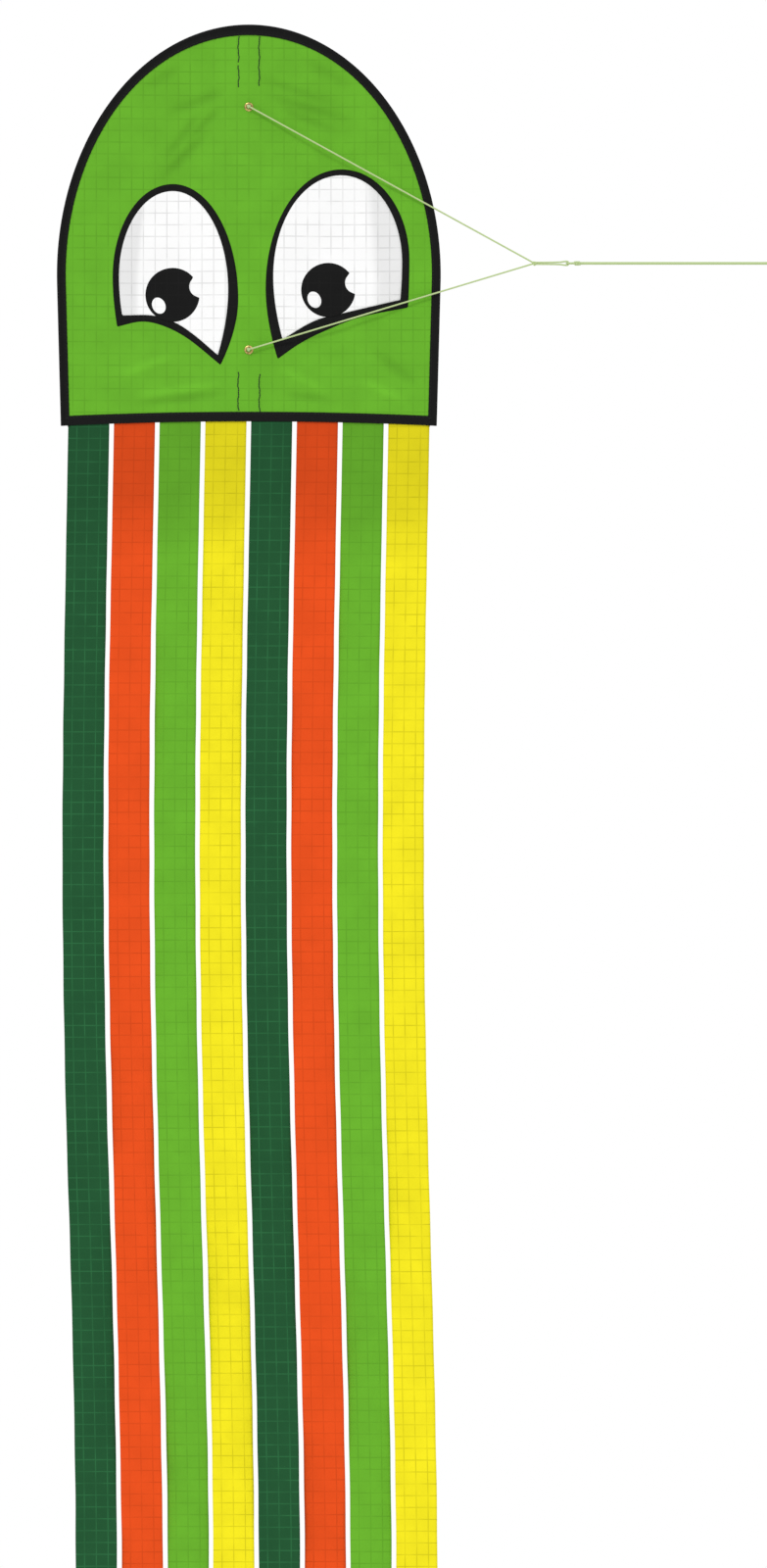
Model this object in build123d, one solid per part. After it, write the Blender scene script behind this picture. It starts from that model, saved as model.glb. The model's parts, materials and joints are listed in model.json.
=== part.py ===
from build123d import *
import math
import os

# Kite with a stretched fabric head, a bowed edge rod, a spine, eight ribbon tails and a taut bridle.
# Millimetres. +Z up, +X to the right seen from the front, the front faces -Y.
# The origin is the nose: the highest point of the head, in the middle plane of the sail.

# Head outline: half an ellipse over two sides that lean in, and a slightly raised hem
head_width = 350.0
head_height = 366.0
arch_share = 0.623        # from the nose down to the widest point, as a share of the height
side_lean = 1.5           # degrees
hem_rise = 4.0            # the middle of the hem above its corners

# Cloth
sail_cloth = 0.5
tape = 0.4                # binding and pocket cloth
binding_width = 8.5
slot_clearance = 0.02
sail_cover = 4.0          # how far the sail reaches under the binding

# Rods and their end caps
arch_rod_diameter = 2.0
spine_diameter = 2.5
cap_wall = 0.4
cap_length = 9.0
cap_end = 1.0
cap_to_corner = 1.0       # from the arch cap's end to the open end of the sleeve
spine_clearance = 1.1     # between the spine and the eyelets' rolled backs

# Spine pockets on the back
pocket_width = 23.0
pocket_hump = 9.0
pocket_top_start = 10.5   # below the nose
pocket_top_length = 47.0
pocket_low_length = 35.0
pocket_low_gap = 4.0      # above the top edge of the hem

# Eyelets
eyelet_shares = {"upper": 0.205, "lower": 0.81}   # below the nose, as shares of the height
eyelet_bore = 4.0
eyelet_barrel_wall = 0.4
eyelet_flange = 8.0
eyelet_flange_thickness = 0.6
washer_thickness = 0.5
roll_thickness = 0.3

# Bridle and flying line
bridle_cord = 1.5
line_cord = 2.5
link_cord = 1.6           # the flying line's own end loop
hitch_cord = 1.4
bridle_clearance = 0.95   # between the bridle's legs and the sleeve that they pass in front of
tow_x = 260.3
tow_share = 0.5956        # the tow point below the nose, as a share of the height
knot_gap = 0.3
link_gap = 0.2
doubled_length = 31.0     # from the tow knot to the link
doubled_spread = 1.55     # between the middles of the two strands
flare_length = 5.0        # over which the strands part to form the eye
link_length = 8.0         # from the link to the middle of the flying line's knot
line_end_x = 482.0
end_loop_radius = 8.0
end_loop_reach = 17.6     # from the end knot to the middle of the loop

# Knots: diameter and length, in diameters of the cord
eyelet_knot_size = (2.4, 2.6)
tow_knot_size = (2.7, 2.8)
line_knot_size = (1.7, 2.3)
end_knot_size = (1.9, 2.2)
knot_shoulder = 0.7       # rounding of a knot, as a share of its radius

# Tails
tail_count = 8
tail_width = 37.5
tail_pitch = 41.7
tail_length = 1634.0
tail_gap = 0.6            # below the lowest hem edge over each tail
sway_start = 4.0          # sideways swing of the wave at the top
sway_growth = 3.1         # more swing for each metre
sway_length = 1400.0      # one whole wave
sway_points = 9

sail_half = sail_cloth / 2
half_width = head_width / 2
arch_height = arch_share * head_height
eyelet_drops = {name: share * head_height for name, share in eyelet_shares.items()}
tow_drop = tow_share * head_height
lean = math.radians(side_lean)
cap_radius = arch_rod_diameter / 2 + cap_wall
spine_cap_radius = spine_diameter / 2 + cap_wall
channel_radius = cap_radius
sleeve_radius = channel_radius + tape
spine_behind = sail_half + washer_thickness + roll_thickness + spine_clearance + spine_diameter / 2
bridle_ahead = sleeve_radius + bridle_clearance + bridle_cord / 2
tail_plane = sail_half + tape + sail_cloth / 2
eye_half = bridle_cord / 2 + link_gap + link_cord / 2   # from the eye's middle to each strand's middle
link_x = tow_x + doubled_length


def front(shape):
    """The flat shape drawn in X and Z, moved into the middle plane of the sail."""
    return Plane.XZ * shape


def slab(face, thickness):
    """The face made solid, half of it each side of the sail's middle plane."""
    return extrude(front(face), thickness / 2, both=True)


def arch_edges(inset, bottom):
    """Left side, elliptical arch and right side at a distance inside the outline, down to a height."""
    a = half_width - inset
    b = arch_height - inset
    dip = math.atan(b * math.tan(lean) / a)
    arch = EllipticalCenterArc(
        (0, -arch_height), a, b, start_angle=-math.degrees(dip), arc_size=180 + 2 * math.degrees(dip)
    )
    right = arch @ 0
    left = arch @ 1
    foot = right.X - (right.Y - bottom) * math.tan(lean)
    return [
        Line((-foot, bottom), left),
        arch.edge().reversed(),
        Line(right, (foot, bottom)),
    ]


def hem_circle():
    """Radius and middle height of the large circle whose top is the head's lower edge."""
    corner = half_width - (head_height - arch_height) * math.tan(lean)
    radius = (corner**2 + hem_rise**2) / (2 * hem_rise)
    return radius, hem_rise - head_height - radius


def hem_height(x):
    """Height of the head's lower edge at x."""
    radius, middle = hem_circle()
    return middle + math.sqrt(radius**2 - x**2)


def head_face(inset, raised):
    """The head's outline a distance inside its arch and sides, with its lower edge raised."""
    sides = arch_edges(inset, -head_height)
    radius, middle = hem_circle()
    whole = make_face([*sides, Line(sides[2] @ 1, sides[0] @ 0)])
    return whole - Pos(0, middle + raised) * Circle(radius)


def sleeve_profile():
    """Hairpin of tape round the rod: a round channel whose two legs run in over the sail."""
    legs = sail_half + slot_clearance
    end = binding_width - sleeve_radius
    throat = 1.8 * channel_radius
    shoulder = 0.6 * channel_radius

    def side(height, radius):
        return [(shoulder, radius), (throat, height), (end, height)]

    outer = side(legs + tape, sleeve_radius)
    inner = side(legs, channel_radius)
    top = [(0, sleeve_radius), *outer, *reversed(inner), (0, channel_radius)]
    low = [(x, -y) for x, y in top]
    edges = [
        Polyline(*top),
        ThreePointArc(top[-1], (-channel_radius, 0), low[-1]),
        Polyline(*low),
        ThreePointArc(low[0], (-sleeve_radius, 0), top[0]),
    ]
    return make_face(edges)


def along(profile, path):
    """The profile, drawn with +x towards the middle of the head, carried along the path."""
    start = path @ 0
    heading = path % 0
    inward = Vector(heading.Z, 0, -heading.X)
    return sweep(Plane(origin=start, x_dir=inward, z_dir=heading) * profile, path=path)


def arch_path(bottom):
    """The line that the edge rod follows inside its sleeve, from the left foot to the right."""
    return Wire([front(edge).edge() for edge in arch_edges(sleeve_radius, bottom)])


def sail_panel():
    holes = [
        front(Pos(0, -drop) * Circle(eyelet_bore / 2 + eyelet_barrel_wall))
        for drop in eyelet_drops.values()
    ]
    panel = slab(head_face(binding_width - sail_cover, tape), sail_cloth)
    return panel - extrude(Sketch() + holes, sail_cloth, both=True)


def edge_sleeve():
    return along(sleeve_profile(), arch_path(-head_height))


def hem_binding():
    thickness = 2 * (sail_half + slot_clearance + tape)
    strip = head_face(binding_width, 0) - head_face(binding_width, binding_width)
    return slab(strip, thickness) - slab(head_face(0, tape), sail_cloth + 2 * slot_clearance)


def arch_foot():
    return -head_height + cap_to_corner + cap_end


def arch_rod():
    return along(Circle(arch_rod_diameter / 2), arch_path(arch_foot()))


def rod_cap(rod_radius, cap_radius_out):
    """A soft cup on a rod's end: the closed end at z = 0, open upwards."""
    cup = Cylinder(cap_radius_out, cap_length, align=(Align.CENTER, Align.CENTER, Align.MIN))
    cup = fillet(cup.edges().group_by(Axis.Z)[0], cap_wall)
    depth = cap_length - cap_end
    rod = Cylinder(rod_radius, depth, align=(Align.CENTER, Align.CENTER, Align.MIN))
    return cup - Pos(0, 0, cap_end) * rod


def arch_cap(side):
    """The cap on the left (-1) or right (1) foot of the edge rod, leaning with the side."""
    path = arch_path(arch_foot())
    foot = path @ (0 if side < 0 else 1)
    up = Vector(side * math.sin(lean), 0, math.cos(lean))
    seat = Plane(origin=foot - up * cap_end, x_dir=(0, 1, 0), z_dir=up)
    return seat * rod_cap(arch_rod_diameter / 2, cap_radius)


def pocket_top():
    return -pocket_top_start


def pocket_bottom():
    return hem_height(0) + binding_width + pocket_low_gap


def spine_rod():
    top = pocket_top() - tape - cap_end
    bottom = pocket_bottom() + tape + cap_end
    rod = Cylinder(spine_diameter / 2, top - bottom, align=(Align.CENTER, Align.CENTER, Align.MIN))
    return Pos(0, spine_behind, bottom) * rod


def spine_cap(end):
    """The cap on the spine's top (1) or bottom (-1) end."""
    cap = rod_cap(spine_diameter / 2, spine_cap_radius)
    if end > 0:
        return Pos(0, spine_behind, pocket_top() - tape) * Rot(180, 0, 0) * cap
    return Pos(0, spine_behind, pocket_bottom() + tape) * cap


def hump(half, rise):
    """Face under a round hump that stands behind the sail, seen from above."""
    foot = sail_half
    return make_face([
        ThreePointArc((-half, foot), (0, foot + rise), (half, foot)),
        Line((half, foot), (-half, foot)),
    ])


def spine_pocket(low, high, closed):
    """Patch sewn on the back with a hump for the spine, closed at its top (1) or bottom (-1) end."""
    rise = spine_behind - sail_half + spine_cap_radius + slot_clearance
    base = Pos(0, sail_half + tape / 2) * Rectangle(pocket_width, tape)
    outer = base + hump(pocket_hump / 2 + tape, rise + tape)
    inner = hump(pocket_hump / 2, rise)
    shell = extrude(outer - inner, high - low)
    wall = extrude(outer, tape)
    body = Pos(0, 0, low) * shell
    return body + Pos(0, 0, high - tape if closed > 0 else low) * wall


def top_pocket():
    return spine_pocket(pocket_top() - pocket_top_length, pocket_top(), 1)


def bottom_pocket():
    return spine_pocket(pocket_bottom(), pocket_bottom() + pocket_low_length, -1)


def facing_front(shape, drop):
    """A turned piece drawn round +Z, with +Z then pointing forwards, set at an eyelet."""
    return Pos(0, 0, -drop) * Rot(90, 0, 0) * shape


def eyelet(drop):
    """Flange on the front, barrel through the sail, and its end rolled over the washer."""
    bore = eyelet_bore / 2
    barrel = bore + eyelet_barrel_wall
    face = sail_half
    back = -sail_half - washer_thickness
    section = make_face(Polyline(
        (bore, back - roll_thickness),
        (barrel + 2 * roll_thickness, back - roll_thickness),
        (barrel + 2 * roll_thickness, back),
        (barrel, back),
        (barrel, face),
        (eyelet_flange / 2, face),
        (eyelet_flange / 2 - eyelet_flange_thickness, face + eyelet_flange_thickness),
        (bore + eyelet_flange_thickness / 2, face + eyelet_flange_thickness),
        (bore, face + eyelet_flange_thickness / 2),
        close=True,
    ))
    return facing_front(revolve(Plane.XZ * section, Axis.Z), drop)


def washer(drop):
    inner = eyelet_bore / 2 + eyelet_barrel_wall
    ring = Circle(eyelet_flange / 2) - Circle(inner)
    return facing_front(Pos(0, 0, -sail_half - washer_thickness) * extrude(ring, washer_thickness), drop)


def hitch(drop):
    """The bridle cord's turn round the spine and its neck, which comes forward through the eyelet."""
    turn = Torus(spine_diameter / 2 + hitch_cord / 2, hitch_cord / 2)
    neck_front = -bridle_ahead + bridle_cord * eyelet_knot_size[0] / 2 + knot_gap
    neck_back = spine_behind - spine_diameter / 2 - hitch_cord / 2
    neck = Cylinder(hitch_cord / 2, neck_back - neck_front, rotation=(90, 0, 0))
    hitch_turn = Pos(0, spine_behind, -drop) * turn
    return hitch_turn + Pos(0, (neck_back + neck_front) / 2, -drop) * neck


def knot(cord, size):
    """A drawn-up knot: a barrel with well rounded shoulders, round the vertical axis."""
    radius = cord * size[0] / 2
    barrel = Cylinder(radius, cord * size[1])
    return fillet(barrel.edges().filter_by(GeomType.CIRCLE), knot_shoulder * radius)


def at_bridle(x, z):
    """A point in the bridle's plane, with z measured from the height of the flying line."""
    return Vector(x, -bridle_ahead, z - tow_drop)


def fair_radii(points):
    """The largest even arc at each corner: 0.45 of its shorter run over the tangent of half the turn."""
    runs = [b - a for a, b in zip(points, points[1:])]
    return [
        0.45 * min(a.length, b.length) / math.tan(math.radians(a.get_angle(b) / 2))
        for a, b in zip(runs, runs[1:])
    ]


def tube(path, diameter):
    """Round cord along the path."""
    start = Plane(origin=path @ 0, z_dir=path % 0)
    return sweep(start * Circle(diameter / 2), path=path)


def bent_tube(name, points, diameter):
    """Round cord along straight runs joined by tangent arcs, whose radii are printed."""
    radii = fair_radii(points)
    path = FilletPolyline(*points, radius=radii)
    print(name, "length", round(path.length, 1), "radii", [round(r, 2) for r in radii])
    return tube(path, diameter)


def bridle_leg(drop):
    """Straight taut leg from the middle of its eyelet knot to the middle of the tow knot."""
    return tube(Line(at_bridle(0, tow_drop - drop), at_bridle(tow_x, 0)), bridle_cord)


def eyelet_knot(drop):
    return Pos(at_bridle(0, tow_drop - drop)) * knot(bridle_cord, eyelet_knot_size)


def tow_knot():
    return Pos(at_bridle(tow_x, 0)) * knot(bridle_cord, tow_knot_size)


def bridle_eye():
    """The bridle's doubled end: two strands side by side that part round a small eye at the link."""
    parted = link_x - 2 * eye_half
    upper = [
        at_bridle(tow_x, doubled_spread / 2),
        at_bridle(parted - flare_length, doubled_spread / 2),
        at_bridle(parted, eye_half),
        at_bridle(link_x, eye_half),
    ]
    lower = [Vector(p.X, p.Y, -2 * tow_drop - p.Z) for p in reversed(upper)]
    return bent_tube("bridle_eye", upper + lower, bridle_cord)


def line_link():
    """The flying line's own loop, level, drawn round the upright end of the bridle's eye."""
    strand = link_cord / 2
    reach = math.hypot(link_length, strand)
    turn = math.atan2(strand, link_length) + math.acos(eye_half / reach)
    touch = Vector(eye_half * math.cos(turn), eye_half * math.sin(turn))
    other = Vector(touch.X, -touch.Y)
    path = Wire([
        Line((link_length, strand), touch).edge(),
        ThreePointArc(touch, (-eye_half, 0), other).edge(),
        Line(other, (link_length, -strand)).edge(),
    ])
    return Pos(at_bridle(link_x, 0)) * tube(path, link_cord)


def line_knot():
    place = Pos(at_bridle(link_x + link_length, 0))
    return place * Rot(0, 90, 0) * knot(line_cord, line_knot_size)


def flying_line():
    """The taut line, from its knot at the link to its knot at the end loop."""
    return tube(Line(at_bridle(link_x + link_length, 0), at_bridle(line_end_x, 0)), line_cord)


def end_knot():
    return Pos(at_bridle(line_end_x, 0)) * Rot(0, 90, 0) * knot(line_cord, end_knot_size)


def end_loop():
    """Open upright loop at the line's end, whose two strands come out of the end knot."""
    near = line_end_x + end_loop_reach - end_loop_radius
    far = line_end_x + end_loop_reach + end_loop_radius
    points = [
        at_bridle(line_end_x, link_cord / 2),
        at_bridle(near, end_loop_radius),
        at_bridle(far, end_loop_radius),
        at_bridle(far, -end_loop_radius),
        at_bridle(near, -end_loop_radius),
        at_bridle(line_end_x, -link_cord / 2),
    ]
    return bent_tube("end_loop", points, link_cord)


def sway(depth):
    """Sideways place of a tail at a depth below its top: a sine wave that grows on its way down."""
    swing = sway_start + sway_growth * depth / 1000
    return -swing * math.sin(2 * math.pi * depth / sway_length)


def tail_middle(index):
    return (index - (tail_count - 1) / 2) * tail_pitch


def tail_top(index):
    """Height of a tail's top edge and hinge: a gap under the lowest hem edge across its width."""
    x = abs(tail_middle(index)) + tail_width / 2
    return hem_height(x) - tail_gap


def tail(index):
    x = tail_middle(index)
    top = tail_top(index)
    depths = [tail_length * k / (sway_points - 1) for k in range(sway_points)]

    def edge(side):
        return Spline(*[(x + sway(s) + side * tail_width / 2, top - s) for s in depths])

    left = edge(-1)
    right = edge(1)
    outline = make_face([left, Line(left @ 1, right @ 1), right, Line(right @ 0, left @ 0)])
    return Pos(0, tail_plane, 0) * slab(outline, sail_cloth)


def cord_nodes():
    """Every cord piece, with the cords' ends let into the knots that hold them."""
    upper = bridle_leg(eyelet_drops["upper"])
    lower = bridle_leg(eyelet_drops["lower"])
    link = line_link()
    line = flying_line()
    loop = end_loop()
    knot_at_tow = tow_knot()
    return {
        "upper_knot": eyelet_knot(eyelet_drops["upper"]) - upper,
        "lower_knot": eyelet_knot(eyelet_drops["lower"]) - lower,
        "bridle_leg_upper": upper - knot_at_tow,
        "bridle_leg_lower": lower - knot_at_tow,
        "tow_knot": knot_at_tow,
        "bridle_eye": bridle_eye() - knot_at_tow,
        "line_link": link,
        "line_knot": line_knot() - line - link,
        "flying_line": line - link - loop,
        "end_knot": end_knot() - line - loop,
        "end_loop": loop,
    }


def nodes():
    parts = {
        "sail_panel": sail_panel(),
        "edge_sleeve": edge_sleeve(),
        "hem_binding": hem_binding(),
        "arch_rod": arch_rod(),
        "arch_cap_left": arch_cap(-1),
        "arch_cap_right": arch_cap(1),
        "spine_rod": spine_rod(),
        "spine_cap_top": spine_cap(1),
        "spine_cap_bottom": spine_cap(-1),
        "top_pocket": top_pocket(),
        "bottom_pocket": bottom_pocket(),
    }
    for name, drop in eyelet_drops.items():
        parts["eyelet_" + name] = eyelet(drop)
        parts["washer_" + name] = washer(drop)
        parts["hitch_" + name] = hitch(drop)
    for index in range(tail_count):
        parts[f"tail_{index + 1}"] = tail(index)
    return parts | cord_nodes()


os.makedirs("parts", exist_ok=True)
for node, shape in nodes().items():
    export_step(shape, f"parts/{node}.step")
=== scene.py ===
"""Looks of a cloth kite: stretched head, folded bindings, rods, bridle and ribbon tails.

Metres. +Z up, +X to the right seen from the front, the front faces -Y, the nose is the origin.
"""

import json
import math

import bmesh
import bpy
import numpy as np
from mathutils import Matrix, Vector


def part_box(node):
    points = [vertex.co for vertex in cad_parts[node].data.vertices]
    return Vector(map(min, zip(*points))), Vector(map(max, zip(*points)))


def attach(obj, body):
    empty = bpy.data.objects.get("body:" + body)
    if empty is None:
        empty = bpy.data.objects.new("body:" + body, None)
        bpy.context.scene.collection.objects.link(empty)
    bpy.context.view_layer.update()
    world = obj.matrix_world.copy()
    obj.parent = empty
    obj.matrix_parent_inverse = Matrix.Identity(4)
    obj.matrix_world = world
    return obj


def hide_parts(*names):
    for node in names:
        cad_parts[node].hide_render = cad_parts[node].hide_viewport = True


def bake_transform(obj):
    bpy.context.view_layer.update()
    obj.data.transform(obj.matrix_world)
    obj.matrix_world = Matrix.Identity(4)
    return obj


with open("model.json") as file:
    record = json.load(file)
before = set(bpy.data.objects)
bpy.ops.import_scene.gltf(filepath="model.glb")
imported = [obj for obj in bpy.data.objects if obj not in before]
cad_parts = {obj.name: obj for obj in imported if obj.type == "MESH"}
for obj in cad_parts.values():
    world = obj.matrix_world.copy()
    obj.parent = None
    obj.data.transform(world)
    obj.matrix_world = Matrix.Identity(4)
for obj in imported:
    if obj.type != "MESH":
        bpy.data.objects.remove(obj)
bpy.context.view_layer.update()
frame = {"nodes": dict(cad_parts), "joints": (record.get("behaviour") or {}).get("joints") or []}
MM = 0.001


def box_middle(node):
    """Middle of a node's box."""
    low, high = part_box(node)
    return np.array((low + high) / 2)


# The head's pattern, from the frame's own boxes
HALF_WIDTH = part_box("edge_sleeve")[1].x
HEAD_HEIGHT = -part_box("hem_binding")[0].z
ARCH_HEIGHT = 0.623 * HEAD_HEIGHT
SIDE_LEAN = math.radians(1.5)
HEM_RISE = 4.0 * MM
CORNER = HALF_WIDTH - (HEAD_HEIGHT - ARCH_HEIGHT) * math.tan(SIDE_LEAN)
EYELETS = {name: box_middle("eyelet_" + name)[2] for name in ("upper", "lower")}
SPINE = box_middle("spine_rod")
SPINE_RADIUS = (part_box("spine_rod")[1].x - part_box("spine_rod")[0].x) / 2
HINGES = {joint["child"]: joint["pos_m"] for joint in frame["joints"]}

# Cloth and print
CLOTH = 0.25 * MM
SAIL_INSET = 4.5 * MM
BINDING_SIDE = 8.1 * MM
BINDING_NOSE = 9.7 * MM
BINDING_HEM = 8.7 * MM
BINDING_HALF = 0.62 * MM
TAPE = 0.30 * MM
ROD_BULGE = 1.80 * MM
BILLOW = 4.5 * MM
GRID_PITCH = 10.7 * MM
PRINT_LIFT = 0.30 * MM
PRINT_STEP = 0.12 * MM
PRINT_FILM = 0.08 * MM
SEAM_INSET = 1.6 * MM
POCKET_HUMP = 5.4 * MM

# Tails
TAIL_WIDTH = 37.5 * MM
TAIL_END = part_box("tail_1")[0].z
TAIL_PLANE = box_middle("tail_1")[1]
TAIL_TUCK = 8.0 * MM
TAIL_BEND = 14.0 * MM
TAIL_COLOURS = ("dark_green", "orange", "light_green", "yellow")
SWAY_START = 4.0 * MM
SWAY_GROWTH = 0.0031
SWAY_LENGTH = 1.4
FLOOR_Z = -2.2

# A ribbon's waves, each a size and a length
LONG_WAVE = (4.5 * MM, 0.62)
SHORT_WAVE = (1.1 * MM, 0.23)
CUP_WAVE = (1.3 * MM, 0.37)
FLUTTER = (0.35 * MM, 0.061)
EDGE_WAVER = (0.12 * MM, 0.083)

# Cords: diameters, and the places that their routes join
BRIDLE_CORD = 1.5 * MM
LINE_CORD = 2.5 * MM
LINK_CORD = 1.6 * MM
HITCH_CORD = 1.4 * MM
BRIDLE_Y = HINGES["bridle"][1]
CORD_Z = HINGES["bridle"][2]
TOW_X = box_middle("tow_knot")[0]
LINK_X = HINGES["line"][0]
LINE_START_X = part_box("flying_line")[0].x
LINE_END_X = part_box("flying_line")[1].x
LOOP_END_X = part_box("end_loop")[1].x - LINK_CORD / 2
LOOP_HALF = 8.0 * MM
EYE_HALF = 1.75 * MM
EYE_FLARE = 5.0 * MM
STRAND_HALF = 0.775 * MM
EYELET_KNOT = 3.9 * MM
TOW_KNOT = 4.6 * MM


# ---------------------------------------------------------------- camera and light

def make_camera():
    """Long lens square on to the head, with the nose near the top of a tall frame."""
    frame_height = 1.4288
    middle_x = 0.1228
    middle_z = -0.6920
    lens = 100.0
    sensor = 36.0
    data = bpy.data.cameras.new("camera")
    data.lens = lens
    data.sensor_width = sensor
    data.clip_end = 60.0
    camera = bpy.data.objects.new("camera", data)
    camera.location = (middle_x, -frame_height * lens / sensor, middle_z)
    camera.rotation_euler = (math.pi / 2, 0, 0)
    bpy.context.scene.collection.objects.link(camera)
    bpy.context.scene.camera = camera


def make_light():
    """Even white surroundings, with one broad soft light from high on the left."""
    scene = bpy.context.scene
    scene.view_settings.view_transform = "Standard"
    world = bpy.data.worlds.new("studio")
    scene.world = world
    world.use_nodes = True
    world.node_tree.nodes["Background"].inputs["Color"].default_value = (1.0, 1.0, 1.0, 1.0)
    world.node_tree.nodes["Background"].inputs["Strength"].default_value = 1.0
    data = bpy.data.lights.new("key", "SUN")
    data.energy = 1.1
    data.angle = math.radians(14)
    key = bpy.data.objects.new("key", data)
    key.rotation_euler = (math.radians(42), math.radians(-28), 0)
    scene.collection.objects.link(key)


make_camera()
make_light()


# ---------------------------------------------------------------- materials

class Nodes:
    """Short words for the shader nodes that the cloths, cords and fittings share."""

    def __init__(self, name):
        self.material = bpy.data.materials.new(name)
        self.material.use_nodes = True
        self.tree = self.material.node_tree
        self.shader = self.tree.nodes["Principled BSDF"]

    def add(self, kind, **settings):
        node = self.tree.nodes.new(kind)
        for key, value in settings.items():
            setattr(node, key, value)
        return node

    def put(self, target, value):
        """A number or colour is set on the socket; anything else is joined to it."""
        if isinstance(value, bpy.types.NodeSocket):
            self.tree.links.new(value, target)
        else:
            target.default_value = value

    def math(self, operation, first, second=0.0, third=0.0):
        node = self.add("ShaderNodeMath", operation=operation)
        for socket, value in zip(node.inputs, (first, second, third)):
            self.put(socket, value)
        return node.outputs[0]

    def ramp(self, value, low, high, start=0.0, end=1.0):
        """Smooth change from start to end as value goes from low to high."""
        node = self.add("ShaderNodeMapRange", interpolation_type="SMOOTHSTEP")
        for socket, number in zip(node.inputs, (value, low, high, start, end)):
            self.put(socket, number)
        return node.outputs[0]

    def mix(self, factor, first, second):
        node = self.add("ShaderNodeMix", data_type="RGBA")
        self.put(node.inputs["Factor"], factor)
        self.put(node.inputs[6], first)
        self.put(node.inputs[7], second)
        return node.outputs[2]

    def noise(self, place, scale, detail=3.0):
        node = self.add("ShaderNodeTexNoise")
        self.put(node.inputs["Vector"], place)
        node.inputs["Scale"].default_value = scale
        node.inputs["Detail"].default_value = detail
        return node.outputs["Fac"]

    def surface_map(self):
        """The piece's own map: metres across and along the cloth."""
        node = self.add("ShaderNodeUVMap", uv_map="cloth")
        split = self.add("ShaderNodeSeparateXYZ")
        self.put(split.inputs[0], node.outputs["UV"])
        return node.outputs["UV"], split.outputs["X"], split.outputs["Y"]

    def place(self):
        """Object coordinates."""
        return self.add("ShaderNodeTexCoord").outputs["Object"]

    def finish(self, colour, roughness, specular, height=None, relief=0.1 * MM, strength=0.3):
        """Colour, gloss and relief on the shader; gives the material."""
        self.put(self.shader.inputs["Base Color"], colour)
        self.put(self.shader.inputs["Roughness"], roughness)
        self.shader.inputs["Specular IOR Level"].default_value = specular
        if height is not None:
            bump = self.add("ShaderNodeBump")
            bump.inputs["Strength"].default_value = strength
            bump.inputs["Distance"].default_value = relief
            self.put(bump.inputs["Height"], height)
            self.put(self.shader.inputs["Normal"], bump.outputs["Normal"])
        return self.material


def rgb(red, green, blue):
    """Display colour, 0 to 255 a channel, as the linear colour that a shader takes."""
    channels = np.array([red, green, blue]) / 255
    linear = np.where(channels <= 0.04045, channels / 12.92, ((channels + 0.055) / 1.055) ** 2.4)
    return tuple(float(c) for c in linear)


def shade(colour, factor):
    """The colour made lighter or darker, with full alpha."""
    return tuple(min(1.0, c * factor) for c in colour) + (1.0,)


def grid_lines(n, across, along, width):
    """Strength of the reinforcing yarns: 1 on a line, each way, falling to 0 at its width."""
    lines = []
    for coordinate in (across, along):
        gap = n.math("PINGPONG", coordinate, GRID_PITCH / 2)
        lines.append(n.ramp(gap, 0.0, width, 1.0, 0.0))
    return n.math("MAXIMUM", *lines)


def plain_weave(n, across, along, pitch):
    """Over and under of fine yarns: the product of two sine waves, one along each direction."""
    waves = [n.math("SINE", n.math("MULTIPLY", c, 2 * math.pi / pitch)) for c in (across, along)]
    return n.math("MULTIPLY", *waves)


def ripstop(name, colour, line_factor=0.79, gain=0.80, shadow=0.86, mottle=0.05):
    """Coated ripstop nylon: a yarn grid of uneven strength over a fine weave, mottled dye, soft sheen.

    The attribute "shade", where a piece has one, darkens the cloth to shadow times its colour at 1.
    """
    n = Nodes(name)
    where, across, along = n.surface_map()
    base = tuple(c * gain for c in colour)
    dye = n.noise(n.place(), 34.0, 5.0)
    cloth = n.mix(n.ramp(dye, 0.25, 0.75), shade(base, 1 - mottle), shade(base, 1 + mottle))
    lines = grid_lines(n, across, along, 0.85 * MM)
    uneven = n.ramp(n.noise(where, 45.0, 2.0), 0.3, 0.7, 0.30, 1.0)
    cloth = n.mix(n.math("MULTIPLY", lines, uneven), cloth, shade(base, line_factor))
    shaded = n.add("ShaderNodeAttribute", attribute_name="shade").outputs["Fac"]
    dimmed = n.add("ShaderNodeVectorMath", operation="SCALE")
    n.put(dimmed.inputs[0], cloth)
    n.put(dimmed.inputs["Scale"], n.math("MULTIPLY_ADD", shaded, shadow - 1, 1.0))
    weave = plain_weave(n, across, along, 0.9 * MM)
    height = n.math("MULTIPLY_ADD", lines, 1.5, n.math("MULTIPLY", weave, 0.35))
    return n.finish(dimmed.outputs[0], 0.60, 0.03, height, 0.12 * MM, 0.25)


def binding_tape(name, colour):
    """Woven tape: fine ribs along it, crossed by a slower weft."""
    n = Nodes(name)
    where, across, along = n.surface_map()
    ribs = n.math("SINE", n.math("MULTIPLY", along, 2 * math.pi / (0.7 * MM)))
    weft = n.math("SINE", n.math("MULTIPLY", across, 2 * math.pi / (1.1 * MM)))
    height = n.math("MULTIPLY_ADD", weft, 0.4, ribs)
    worn = n.mix(n.noise(where, 260.0), shade(colour, 0.85), shade(colour, 1.2))
    return n.finish(worn, 0.75, 0.05, height, 0.10 * MM, 0.35)


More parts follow.
